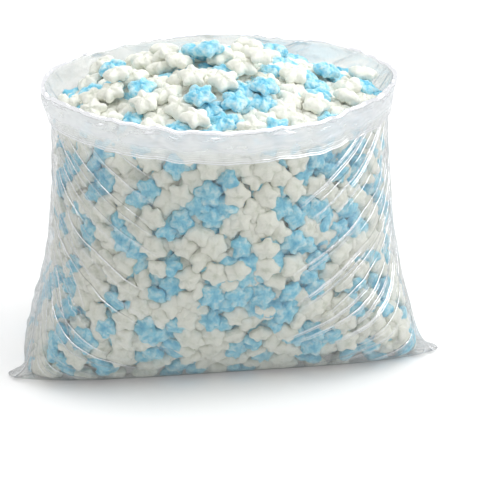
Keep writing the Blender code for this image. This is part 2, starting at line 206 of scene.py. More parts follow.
def foam(name, colours, pore, bump):
    """Closed-cell foam: matt and slightly crumbly, with painted shade in its pits and hollows and painted
    light on its high spots.

    The pore is its cells' size and the bump their depth, in metres.
    """
    material, tree, out = new_material(name)
    place = add(tree, "TexCoord").outputs["Object"]
    cells = add(tree, "TexNoise", {"Vector": place, "Scale": 1 / pore, "Detail": 3.0, "Roughness": 0.6})
    patches = add(tree, "TexNoise", {"Vector": place, "Scale": 1 / PATCH, "Detail": 2.0, "Roughness": 0.5})
    painted_light_and_shade = add(tree, "Attribute", attribute_name="painted_light_and_shade").outputs["Fac"]
    both = add(tree, "Math", (cells, patches), operation="ADD")
    mottling = add(tree, "MapRange", (both, 0.7, 1.3, -MOTTLING, MOTTLING))
    shade = add(tree, "Math", (painted_light_and_shade, mottling), operation="ADD")
    ramp = add(tree, "ValToRGB", (shade,))
    while len(ramp.color_ramp.elements) < len(colours):
        ramp.color_ramp.elements.new(0.5)
    for index, (element, colour) in enumerate(zip(ramp.color_ramp.elements, colours)):
        element.position = index / (len(colours) - 1)
        element.color = linear(colour)
    relief = add(tree, "Bump", {"Height": cells, "Strength": 0.9, "Distance": bump})
    shader = add(tree, "BsdfPrincipled", {
        "Base Color": ramp,
        "Normal": relief,
        "Roughness": 0.85,
        "IOR": 1.4,
        "Subsurface Weight": 0.4,
        "Subsurface Radius": (1.0, 1.0, 1.0),
        "Subsurface Scale": LIGHT_REACH,
    })
    tree.links.new(shader.outputs[0], out.inputs["Surface"])
    return material


# Whites come out of the mould smooth with fine pores, so they shade softly. Their colours only darken
# below the scale's middle, so of the painted light and shade only the painted shade shows on them.
whites = (WHITE_DEEP, WHITE_LIGHT, WHITE_LIGHT)
white_foam = foam("white expanded foam, moulded", whites, pore=0.0019, bump=0.0008)
# The blue foam tears more, so it is mottled and rougher. Its colours run from deep to whitish, so it shows
# painted light on high spots and points and painted shade in pits, dimple and flanks.
blues = (BLUE_DEEP, BLUE_MIDDLE, BLUE_LIGHT)
blue_foam = foam("blue expanded foam, moulded", blues, pore=0.0022, bump=0.0013)


def pressed_in(spot):
    """The spot, or the nearest one inside the film if it lies beyond it."""
    z = max(spot.z, FILM_ROOM)
    width, depth = (size - FILM_ROOM for size in half_sizes(z))
    back = FOOT_BACK * (1 - smooth(z / BELLY_HEIGHT))
    along = spot.y - back
    power = squareness(z, along < 0)
    beyond = max((abs(spot.x / width) ** power + abs(along / depth) ** power) ** (1 / power), 1.0)
    return Vector((spot.x / beyond, along / beyond + back, z))


def new_star(segments, rings, place, rough, seed, pressed=False):
    """An object of one puffy star, from a ball: points drawn out, then lumps and pits.

    A pressed one is flattened where the film bears on it.
    """
    mesh = bmesh.new()
    painted_light_and_shade = mesh.verts.layers.float.new("painted_light_and_shade")
    bmesh.ops.create_uvsphere(mesh, u_segments=segments, v_segments=rings, radius=1.0)
    shift = Vector((seed * 3.17, seed * 1.71, seed * 2.37))
    # A point between two corners comes out blunt. With ten corners there would be no point left.
    half_step = math.pi / segments if segments > 2 * STAR_POINTS else 0.0
    for corner in mesh.verts:
        x, y, z = corner.co
        level = math.hypot(x, y)
        angle = math.atan2(y, x) + half_step
        point = 0.5 + 0.5 * math.cos(STAR_POINTS * angle)
        outline = STAR_WAIST + (STAR_TIP - STAR_WAIST) * point**STAR_SHARPNESS
        around = Vector((1.4 * math.cos(angle), 1.4 * math.sin(angle), 0))
        outline *= 1 + STAR_UNEVEN * noise.noise(around + shift)
        half = STAR_HALF + (STAR_RIM_HALF - STAR_HALF) * level**2
        radius = outline * level**STAR_FULLNESS
        height = abs(z) ** STAR_DOME * half * (STAR_NOTCH + (1 - STAR_NOTCH) * point)
        spot = Vector((radius * math.cos(angle), radius * math.sin(angle), math.copysign(height, z)))
        out = Vector((spot.x, spot.y, FLATTENED * spot.z)).normalized()
        lump = sum(strength * noise.noise(spot * fineness + shift) for strength, fineness in LUMPS)
        dimple = DIMPLE * math.exp(-((radius / DIMPLE_RADIUS) ** 2))
        # Painted shade towards each star's outline, where its neighbours would shade it, stronger on
        # pressed stars.
        painted_flank_shade = smooth((level - FLANK_START) / (1 - FLANK_START))
        painted_flank_shade *= PAINTED_SHADE_OF_PRESSED_FLANK if pressed else PAINTED_SHADE_OF_FLANK
        # Painted light and shade for the foam's colour: lighter on high lumps and towards the points,
        # darker in low lumps, in the dimple and towards the outline, most where the film presses a star.
        shade = SHADE_START + PAINTED_LIGHT_AND_SHADE_OF_LUMPS * lump + PAINTED_LIGHT_OF_POINTS * radius / STAR_TIP
        corner[painted_light_and_shade] = shade - PAINTED_SHADE_OF_DIMPLE * dimple - painted_flank_shade
        spot += out * rough * lump
        spot.z -= math.copysign(dimple * STAR_HALF, z)
        corner.co = place @ spot
        if pressed:
            corner.co = pressed_in(corner.co)
    return new_object("star", mesh)


def new_object(name, mesh):
    """A smooth-shaded object of a bmesh, which is used up."""
    for face in mesh.faces:
        face.smooth = True
    data = bpy.data.meshes.new(name)
    mesh.to_mesh(data)
    mesh.free()
    piece = bpy.data.objects.new(name, data)
    bpy.context.scene.collection.objects.link(piece)
    return piece


def joined(name, stars):
    """Many small objects made one, which takes the name."""
    with bpy.context.temp_override(active_object=stars[0], selected_editable_objects=stars):
        bpy.ops.object.join()
    stars[0].name = stars[0].data.name = name
    return stars[0]


def turned(centre, normal, tilt, rng):
    """A star's matrix: its crown along the normal, leaned over by up to tilt, and spun."""
    lie = normal.to_track_quat("Z", "Y").to_matrix().to_4x4()
    side = Matrix.Rotation(rng.uniform(0, 2 * math.pi), 4, "Z") @ Vector((1, 0, 0))
    lean = Matrix.Rotation(rng.uniform(0, tilt), 4, side)
    spin = Matrix.Rotation(rng.uniform(0, 2 * math.pi), 4, "Z")
    return Matrix.Translation(centre) @ lie @ lean @ spin


def dress(piece, material, slot, *nodes):
    """Give a piece its material; the slot is not used. It rides on the row's one body for these CAD nodes.
    """
    piece.data.materials.clear()
    piece.data.materials.append(material)
    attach(piece, "root")
    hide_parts(*nodes)


def dress_foam(piece, colour, *nodes):
    """A foam piece in white or blue."""
    if colour == "white":
        dress(piece, white_foam, "white_foam", *nodes)
    else:
        dress(piece, blue_foam, "pale_blue_foam", *nodes)


def lump_places():
    """The angle and height of each lump of the CAD filling's sides, and of each hollow between them.

    They come from the same random draws as the CAD filling's own rings, which are given back too.
    """
    draws = random.Random(CAD_SEED + 1)
    girth = math.pi * (NECK_WIDTH + NECK_DEPTH) / 2
    edge = RIM_HEIGHT - HEAP_EDGE
    sway = LUMP_SWAY * LUMP_PITCH
    turns = [2 * math.pi * column / LUMP_COLUMNS for column in range(LUMP_COLUMNS)]
    rings = [[(turn, LUMP_START) for turn in turns]]
    for row in range(1, LUMP_ROWS + 1):
        ring = []
        for turn in turns:
            near = turn + draws.uniform(-sway, sway) * 2 * math.pi / girth
            height = edge * row / LUMP_ROWS + draws.uniform(-sway, sway) * (row < LUMP_ROWS)
            ring.append((near, height))
        rings.append(ring)
    lumps, hollows = [], []
    for low, high in zip(rings, rings[1:]):
        for column in range(LUMP_COLUMNS):
            beside = (column + 1) % LUMP_COLUMNS
            round_it = 2 * math.pi if beside == 0 else 0.0
            corners = [low[column], high[column], low[beside], high[beside]]
            turn = (sum(corner[0] for corner in corners) + 2 * round_it) / 4
            lumps.append((turn, sum(corner[1] for corner in corners) / 4))
            hollows.append(high[column])
    return lumps, hollows, draws


def wall_layer(name, spots, depth, deeper, tilt, segments, rings, rough, seed):
    """Stars laid along the wall at these spots and depths: one white and one blue mesh.

    Their depth runs from depth to depth + deeper. They lean by up to tilt, in degrees.
    """
    rng = random.Random(seed)
    stars = {"white": [], "blue": []}
    laid = []
    for number, (angle, z) in enumerate(spots):
        turn = angle + rng.uniform(-TURN_STRAY, TURN_STRAY)
        height = max(z + rng.uniform(-HEIGHT_STRAY, HEIGHT_STRAY), LEAST_HEIGHT)
        height = min(height, RIM_HEIGHT - HEAP_EDGE)
        normal = wall_normal(turn, height)
        centre = wall_point(turn, height) - normal * (FILM_ROOM + depth + rng.uniform(0, deeper))
        centre.z = max(centre.z, LEAST_CENTRE)
        near = [other for spot, other in laid if (spot - centre).length < NEIGHBOURS_WITHIN]
        lacking = near.count("blue") * WHITE_SHARE - near.count("white") * (1 - WHITE_SHARE)
        colour = "white" if rng.random() < WHITE_SHARE + MIXING * lacking else "blue"
        laid.append((centre, colour))
        place = turned(centre, normal, math.radians(tilt), rng)
        place = place @ Matrix.Scale(rng.uniform(*STAR_SCALES), 4)
        bumps = rough * (1.0 if colour == "white" else BLUE_ROUGHER)
        stars[colour].append(new_star(segments, rings, place, bumps, 100 * seed + number, pressed=True))
    for colour, made in stars.items():
        dress_foam(joined(f"{name}_{colour}", made), colour, "filling")


lumps, hollows, draws = lump_places()
wall_layer("pressed_stars", lumps, depth=0.0074, deeper=0.0028, tilt=32,
           segments=20, rings=7, rough=WALL_ROUGH, seed=21)
wall_layer("wedged_stars", hollows, depth=0.0094, deeper=0.0034, tilt=55,
           segments=20, rings=6, rough=WALL_ROUGH, seed=25)
along_foot = [(2 * math.pi * index / FOOT_STARS, FOOT_STAR_HEIGHT) for index in range(FOOT_STARS)]
wall_layer("foot_stars", along_foot, depth=0.0040, deeper=0.0010, tilt=50,
           segments=20, rings=6, rough=WALL_ROUGH, seed=26)


# Stars behind them
# The same foam stars, lying deeper at every angle. Only glimpses of them show between the others.

INNER_ROUGH = 0.0008
INNER_TURNS = (0.05, 0.14)  # how far round the bag they lie from those in front, radians

between = [(turn + shift, height) for turn, height in lumps + hollows for shift in INNER_TURNS]
wall_layer("inner_stars", between, depth=0.0140, deeper=0.0060, tilt=50,
           segments=10, rings=4, rough=INNER_ROUGH, seed=22)


# Heart of the filling
# The same mix of stars, too deep to be told apart: one lumpy body behind the layers of stars.

CORE_INSET = 0.021  # from the film's outside to the heart
CORE_LUMP = 0.004
CORE_LUMPS = 80  # to a metre
CORE_LOWEST = 0.010
CORE_UNDERSIDE = 0.012
CORE_SHOULDER = 0.262  # height where its side ends and its dome begins
CORE_DOME = 0.030  # from there up to its top
FLAT_FROM = 0.93  # height of the ring on the starting ball that bounds the underside
FLAT_LEVEL = 0.37  # and about that ring's radius
DOME_FROM = 0.6  # the same for the dome
DOME_LEVEL = 0.8

core = bmesh.new()
painted_light_and_shade_layer = core.verts.layers.float.new("painted_light_and_shade")
bmesh.ops.create_uvsphere(core, u_segments=72, v_segments=40, radius=1.0)
for corner in core.verts:
    x, y, z = corner.co
    turn = math.atan2(y, x)
    level = math.hypot(x, y)
    if z < 0:
        height = BELLY_HEIGHT * (1 - abs(z) ** 1.4) + LEAST_HEIGHT
        spot = wall_point(turn, height) - wall_normal(turn, height) * CORE_INSET
        if abs(z) > FLAT_FROM:
            spot = Vector((spot.x * level / FLAT_LEVEL, spot.y * level / FLAT_LEVEL, CORE_UNDERSIDE))
        spot.z = max(spot.z, CORE_LOWEST)
    else:
        height = BELLY_HEIGHT + (CORE_SHOULDER - BELLY_HEIGHT) * min(z / DOME_FROM, 1.0)
        spot = wall_point(turn, height) - wall_normal(turn, height) * CORE_INSET
        if z > DOME_FROM:
            spot.x *= level / DOME_LEVEL
            spot.y *= level / DOME_LEVEL
            spot.z = CORE_SHOULDER + CORE_DOME * (1 - (level / DOME_LEVEL) ** 1.6)
    lump = noise.noise(spot * CORE_LUMPS)
    corner.co = spot + Vector((x, y, z)) * CORE_LUMP * lump
    # Painted shade: the heart lies low on the foam's colour scale, lighter on its high lumps and darker in
    # its low ones.
    corner[painted_light_and_shade_layer] = 0.3 + 0.3 * lump
dress_foam(new_object("filling_heart", core), "white", "filling")


# Stars of the heap that hold the free ones
# The foam stars that bear those on top. They lie where the CAD filling's own stars stand,
# and more of them are tucked into the gaps between.

FILM = 0.0005  # thickness of the CAD film
INSET = 0.0087  # from the film's outside to the plain surface of the CAD filling
HEAP_RISE = 0.040  # from the edge up to the top of the filling, under the free stars
HEAP_SHARPNESS = 1.6  # exponent of the heap's profile, where more is flatter on top
FUSED_STARS = 54
FREE_STARS = 58
FUSED_LIFT = 0.0030  # height of a fused star's centre above the heap's surface
FUSED_TILT = math.radians(12)  # the most that it leans away from the surface
STAR_GAP = 0.0028  # between the points of the outermost stars and the film
CAD_STAR_TIP = 0.0147
TUCKED_STARS = 290
TUCKED_DROP = 0.0012  # the least depth of a tucked star's centre below the surface
TUCKED_DEEPER = 0.003
TUCKED_TILT = math.radians(30)
TUCKED_SPREAD = 1.02  # how much further out they lie than the fused ones
TUCKED_TURN = 0.6  # what turns their spiral away from the fused ones'
TUCKED_STRAY = 0.1  # how far they stray along it, radians
HEAP_WHITE_SHARE = 0.74
HEAP_ROUGH = {"white": 0.0012, "blue": 0.0016}
SLOPE_STEP = 0.02


def heap_point(share, angle):
    """A point on the heap's surface, share of the way from its middle to its edge."""
    edge = RIM_HEIGHT - HEAP_EDGE
    width, depth = half_sizes(edge)
    point = outline_point(angle, edge, (width - INSET) * share, (depth - INSET) * share)
    point.z += HEAP_RISE * (1 - share**HEAP_SHARPNESS)
    return point


def heap_normal(share, angle):
    """The outward direction of the heap's surface."""
    share = max(share, SLOPE_STEP)
    outwards = heap_point(share + SLOPE_STEP, angle) - heap_point(share - SLOPE_STEP, angle)
    return outwards.cross(Vector((0, 0, 1)).cross(outwards)).normalized()


def heap_place(share, angle):
    """The share and angle on the heap of a star that lies share of the way out to the film."""
    width, depth = (size - INSET for size in half_sizes(RIM_HEIGHT - HEAP_EDGE))
    film_width, film_depth = map(min, half_sizes(NECK_HEIGHT), half_sizes(RIM_HEIGHT))
    room = FILM + STAR_GAP + CAD_STAR_TIP
    x = (film_width - room) * share * math.cos(angle) / width
    y = (film_depth - room) * share * math.sin(angle) / depth
    return math.hypot(x, y), math.atan2(y, x)


golden = math.pi * (3 - math.sqrt(5))
places = [
    (math.sqrt((index + 0.5) / (FUSED_STARS + FREE_STARS)), index * golden)
    for index in range(FUSED_STARS + FREE_STARS)
]
random.Random(CAD_SEED + 3).shuffle(places)
pick = random.Random(24)
heap_stars = {"white": [], "blue": []}
for index, (share, angle) in enumerate(places[:FUSED_STARS]):
    share, angle = heap_place(share, angle)
    centre = heap_point(share, angle) + Vector((0, 0, FUSED_LIFT))
    colour = "white" if pick.random() < HEAP_WHITE_SHARE else "blue"
    place = turned(centre, heap_normal(share, angle), FUSED_TILT, draws)
    heap_stars[colour].append(new_star(60, 16, place, HEAP_ROUGH[colour], 1000 + index))
for index in range(TUCKED_STARS):
    share = math.sqrt((index + 0.5) / TUCKED_STARS) * TUCKED_SPREAD
    angle = index * golden + TUCKED_TURN + pick.uniform(-TUCKED_STRAY, TUCKED_STRAY)
    share, angle = heap_place(share, angle)
    centre = heap_point(share, angle) - Vector((0, 0, TUCKED_DROP + pick.uniform(0, TUCKED_DEEPER)))
    colour = "white" if pick.random() < HEAP_WHITE_SHARE else "blue"
    place = turned(centre, heap_normal(share, angle), TUCKED_TILT, pick)
    heap_stars[colour].append(new_star(20, 6, place, HEAP_ROUGH[colour], 2000 + index))
for colour, made in heap_stars.items():
    dress_foam(joined(f"heap_stars_{colour}", made), colour, "filling")


# Free stars on the heap
# Each is one loose foam star, white or pale blue, moulded in one piece. It only rests on its
# neighbours, so each is a piece of its own and lies exactly where its CAD star lies.

for number, name in enumerate(sorted(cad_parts)):
    if not name.startswith("star_"):
        continue
    source = bmesh.new()
    source.from_mesh(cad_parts[name].data)
    bmesh.ops.remove_doubles(source, verts=source.verts[:], dist=0.00005)
    corners = [corner.co.copy() for corner in source.verts]
    source.free()
    # The crowns are the corners nearest to the centre, and a point is the furthest one.
    centre = sum(corners, Vector()) / len(corners)
    corners.sort(key=lambda corner: (corner - centre).length)
    axis = (corners[0] - corners[1]).normalized()
    axis *= math.copysign(1.0, axis.z)
    tip = corners[-1] - centre
    tip = (tip - axis * tip.dot(axis)).normalized()
    basis = Matrix((tip, axis.cross(tip), axis)).transposed().to_4x4()
    colour = "white" if "white" in name else "blue"
    star = new_star(60, 16, Matrix.Translation(centre) @ basis, HEAP_ROUGH[colour], 3000 + number)
    star.name = star.data.name = f"foam_{name}"
    dress_foam(star, colour, name)


# Film bag
# One piece of clear, slightly milky polythene film, blown as a tube, sealed along its base and
# folded outward over itself at the mouth as a cuff. It hangs in slanting creases towards its ends.

FOOT_WIDTH = 0.370
EAR_REACH = 0.032  # of the bottom seal's flat corners, if their tips were sharp
EAR_TIP = 0.0225  # the most that the corners really reach
EAR_RISE = 0.010  # the height in which an ear thins out
EAR_ANGLE = math.radians(36)  # from the end of the bag towards its front
EAR_SPREAD = math.radians(12)
EAR_FOOT = 0.6  # share of an ear's reach that bears on the floor
CUFF_DROP = 0.031  # from the fold down to the cuff's hem
RIM_DIP = 0.003  # how much lower the rim hangs at the middle of the front
SAG = 0.0030  # and at one spot beside it
SAG_ANGLE = math.radians(-62)
SAG_WIDTH = 0.10
COLUMNS = 330
BASE_ROWS = 60  # from the floor to the belly
WALL_ROWS = 44  # from the belly to the fold
FOLD_ROWS = 7
CUFF_ROWS = 36
CREASE_PITCH = 0.0090  # between creases, on average
CROSS_PITCH = 0.015  # between those that cross them
CREASE_FALL = 0.50  # how steeply the creases fall from each end to the middle
END_FALL = 0.035  # how much further they fall near the end
END_FALL_WITHIN = 0.05
CROSS_FALL = 1.15
CREASE_HEIGHT = 0.0016  # of the folds that the creases leave in the film
CREASES_BEFORE = 30  # creases numbered below zero
UNDER_CUFF = 0.245  # just below the hem, where the wall's creases fade and its haze begins
WALL_HAZE = 0.25  # of the wall behind the cuff, where the cuff's own is 1
CRUMPLE = 0.0032  # height of the cuff's crushed facets
TUCK = 0.0012  # height of the tucks below the fold
FOLD_WAVE = 0.0020  # how far the fold rises and falls
HEM_WAVE = 0.0016  # and the hem
CUFF_FLARE = 0.0015  # how far the plain hem stands inside the fold
CUFF_END_FLARE = 0.0050  # and how much further at both ends
CUFF_SWELL = 0.0010  # how far crumpling brings the hem out again
FILM_SHOWN = 0.0003  # its thickness here
REAR_MILK = 0.4  # haze of the cuff at the rear, as a share of that at the front
QUARTER_GIRTH = 0.234
LEFT_HALF = 60  # added to the numbers of the left half's creases, so that they differ
BROAD_LEFT = 0.2
ON_WALL = -0.2  # way down the cuff of a point that isn't on it
THIN_LINE = (0.0, 0.0008)  # how far a drawn line lies beside its crease, and half its width
DARK_LINE = (0.0013, 0.0010)
TWIN_LINE = (-0.0028, 0.0008)
BROAD_LINE = (-0.0003, 0.0018)
LINE_SWAY = 0.006
RIM_LINE = 0.03  # half the width of the painted highlight along the rim, as a share of the cuff
HEM_LINES = (  # way down the cuff, half the width and the strength of each painted highlight line at the hem
    (0.985, 0.035, 1.0),
    (0.91, 0.022, 0.7),
    (0.83, 0.012, 0.3),
    (0.77, 0.012, 0.3),
)

# Each crease's thin line and broad stroke start and end so far from the end of the bag, in
# metres, and each of them has its own strength.
strain = random.Random(31)
crease_knots = [
    line + 0.5 + strain.uniform(-0.42, 0.42) for line in range(-CREASES_BEFORE, 2 * LEFT_HALF)
]
crease_looks = [
    {
        "from": strain.choice((-0.02, -0.02, 0.01, 0.03)),
        "to": strain.uniform(0.06, 0.17),
        "line": strain.choice((0.15, 0.4, 0.8, 1.0, 1.0)),
        "broad_from": strain.uniform(0.04, 0.10),
        "broad_to": strain.uniform(0.12, 0.19),
        "broad": strain.choice((0.0, 0.0, 0.5, 1.0)),
    }
    for _ in range(4 * len(crease_knots))
]


def ear_at(angle, z):
    """How far the seal's corners pull the film outwards."""
    reach = 0.0
    for end in (-EAR_ANGLE, EAR_ANGLE - math.pi):
        turn = math.remainder(angle - end, 2 * math.pi)
        reach += math.exp(-((turn / EAR_SPREAD) ** 2))
    return reach * min(EAR_TIP, EAR_REACH * math.exp(-z / EAR_RISE))


def dip(angle):
    """How much lower the rim hangs at an angle than at the rear, with one sagging spot."""
    sag = SAG * math.exp(-((math.remainder(angle - SAG_ANGLE, 2 * math.pi) / SAG_WIDTH) ** 2))
    return RIM_DIP * (1 - math.sin(angle)) / 2 + sag


def stretched(value):
    """The value moved so that the creases, which lie unevenly, lie half-way between whole numbers."""
    place = bisect.bisect(crease_knots, value)
    low, high = crease_knots[place - 1], crease_knots[place]
    return place - CREASES_BEFORE - 0.5 + (value - low) / (high - low)


def strength(flow, end, angle, family):
    """How strong the nearest crease is here, as a thin line and as a broad stroke.

    Family 0 falls gently and family 1 crosses it. A crease looks different on front and rear.
    """
    number = math.floor(flow) + CREASES_BEFORE
    looks = []
    # A line fades in over 20 mm and out over 40, and a stroke over 20 and 30.
    for side in (0, 1):
        look = crease_looks[(2 * number + side + 7 * family) % len(crease_looks)]
        reach = look["to"] if family == 0 else 0.04 + 0.4 * look["to"]
        fade = smooth((end - look["from"] + 0.01) / 0.02) * smooth((reach - end) / 0.04)
        stroke = smooth((end - look["broad_from"]) / 0.02) * smooth((look["broad_to"] - end) / 0.03)
        looks.append((look["line"] * fade, look["broad"] * stroke))
    front = smooth(0.5 - 2.5 * math.sin(angle))
    return [rear + (near - rear) * front for near, rear in zip(*looks)]


def creases(angle, z):
    """The flow of the creases and of those across them, and how strong both and the strokes are.

    A flow grows by one from crease to crease. Both fall from the bag's ends to its middle, and
    the creases across fall more steeply.
    """
    end = abs(math.remainder(angle, math.pi)) / (math.pi / 2) * QUARTER_GIRTH
    half = LEFT_HALF if math.cos(angle) < 0 else 0
    fall = CREASE_FALL * end + END_FALL * (1 - math.exp(-end / END_FALL_WITHIN))
    down = stretched((z + fall) / CREASE_PITCH + half)
    across = stretched((z + CROSS_FALL * end) / CROSS_PITCH + half)
    thin, broad = strength(down, end, angle, 0)
    thin *= 1 - 0.8 * smooth((z - UNDER_CUFF) / 0.02)
    broad *= BROAD_LEFT if half else 1.0
    crossing, _ = strength(across, end, angle, 1)
    return down, across, thin, crossing, broad


def wall_spot(angle, row):
    """A point of the wall, with its haze, its way down the cuff and its creases."""
    top = RIM_HEIGHT - FOLD_RADIUS
    if row <= BASE_ROWS:
        z = BELLY_HEIGHT * (1 - math.cos(math.pi / 2 * row / BASE_ROWS))
    else:
        z = BELLY_HEIGHT + (top - BELLY_HEIGHT) * (row - BASE_ROWS) / WALL_ROWS
    flows = creases(angle, z)
    if row == 0:
        turn = leaned(angle, 0.0)
        spot = outline_point(turn, 0.0, FOOT_WIDTH / 2, FOOT_DEPTH / 2)
        spot.x += math.copysign(EAR_FOOT * ear_at(turn, 0.0), math.cos(angle))
        return spot, 0.0, ON_WALL, flows
    spot = wall_point(angle, z)
    # The film is slack towards the ends and tight at the middle of front and rear, and its
    # folds run out at the foot and are smaller under the cuff.
    slack = smooth((abs(math.cos(angle)) - 0.25) / 0.6)
    folds = slack * (0.5 - 0.5 * math.cos(math.pi * flows[0]))
    folds += 0.5 * flows[3] * (0.5 - 0.5 * math.cos(math.pi * flows[1]))
    grow = smooth(z / 0.02) * (1 - 0.6 * smooth((z - 0.20) / 0.06))
    spot += wall_normal(angle, z) * (CREASE_HEIGHT * folds * grow)
    spot.x += math.copysign(ear_at(leaned(angle, z), z), spot.x)
    spot.z -= dip(angle) * smooth((z - BELLY_HEIGHT) / (RIM_HEIGHT - BELLY_HEIGHT))
    return spot, WALL_HAZE * smooth((z - UNDER_CUFF) / 0.03), ON_WALL, flows


def cuff_spot(angle, past):
    """A point of the fold or the cuff, so many rows past the wall, with what a wall point has."""
    under = FOLD_RADIUS - FILM_SHOWN
    top = RIM_HEIGHT - FOLD_RADIUS
    if past <= FOLD_ROWS:
        turn = math.pi * past / FOLD_ROWS
        out, z = -under * math.cos(turn), top + under * math.sin(turn)
        down = 0.0
    else:
        down = (past - FOLD_ROWS) / CUFF_ROWS
        out, z = under - CUFF_FLARE * down, top - (CUFF_DROP - FOLD_RADIUS) * down
    width, depth = MOUTH_WIDTH / 2 - FOLD_RADIUS, MOUTH_DEPTH / 2 - FOLD_RADIUS
    width -= CUFF_END_FLARE * down * math.cos(angle) ** 2
    sway = Vector((math.cos(angle), math.sin(angle), 0)) * 6
    # The fold rises and falls softly, with a few sharper peaks.
    wave = 0.6 * noise.noise(sway * 0.9) + 0.4 * noise.noise(sway * 3 + Vector((0, 0, 4)))
    wave += 0.9 - 2.2 * abs(noise.noise(sway * 1.5 + Vector((7, 0, 2))))
    # The cuff is crushed into facets, which die down towards the hem.
    facets = noise.voronoi(sway * 0.75 + Vector((3, 1, down * 1.3)))[0]
    crush = 2.0 * (facets[1] - facets[0]) - 0.6
    crush += 0.2 * noise.noise(sway * 2.0 + Vector((3, 1, down * 1.5)))
    fade = smooth(past / FOLD_ROWS) * (0.7 + 0.3 * smooth(down * 3))
    fade *= 1 - 0.7 * smooth((down - 0.45) / 0.4)
    # Here and there it is tucked, a little below the fold.
    tuck = smooth((noise.noise(sway * 1.7 + Vector((9, 4, 1))) - 0.05) / 0.25)
    tuck *= math.exp(-(((down - 0.16) / 0.10) ** 2))
    out += CRUMPLE * crush * fade + CUFF_SWELL * down + TUCK * tuck
    z += FOLD_WAVE * wave * (1 - 0.6 * down) + HEM_WAVE * noise.noise(sway * 1.2) * down
    spot = outline_point(angle, z, width + out, depth + out)
    spot.z -= dip(angle)
    milky = REAR_MILK + (1 - REAR_MILK) * smooth(0.5 - 1.5 * math.sin(angle))
    return spot, (0.3 + 0.7 * smooth(past / FOLD_ROWS)) * milky, down, (0.0, 0.0, 0.0, 0.0, 0.0)


rows = BASE_ROWS + WALL_ROWS + FOLD_ROWS + CUFF_ROWS
film = bmesh.new()
film.loops.layers.uv.new("film")
bmesh.ops.create_grid(film, x_segments=COLUMNS, y_segments=rows, size=1.0, calc_uvs=True)
haze_layer = film.verts.layers.float.new("haze")
cuff_layer = film.verts.layers.float.new("cuff")
flow_layer = film.verts.layers.float_vector.new("flow")
crease_layer = film.verts.layers.float_vector.new("creases")
for corner in film.verts:
    column = round((corner.co.x + 1) / 2 * COLUMNS)
    row = round((corner.co.y + 1) / 2 * rows)
    angle = 2 * math.pi * (column % COLUMNS) / COLUMNS
    if row <= BASE_ROWS + WALL_ROWS:
        spot, haze, drop, flows = wall_spot(angle, row)
    else:
        spot, haze, drop, flows = cuff_spot(angle, row - BASE_ROWS - WALL_ROWS)
    down, across, thin, crossing, broad = flows
    corner[haze_layer], corner[cuff_layer] = haze, drop
    corner[flow_layer] = Vector((down, across, column / COLUMNS))
    corner[crease_layer] = Vector((thin, crossing, broad))
    corner.co = spot
bmesh.ops.remove_doubles(film, verts=film.verts[:], dist=0.00001)
foot = [edge for edge in film.edges if edge.is_boundary and edge.verts[0].co.z < 0.01]
sole = bmesh.ops.contextual_create(film, geom=foot)["faces"][0]
bmesh.ops.recalc_face_normals(film, faces=film.faces[:])
if sole.normal.z > 0:
    bmesh.ops.reverse_faces(film, faces=film.faces[:])


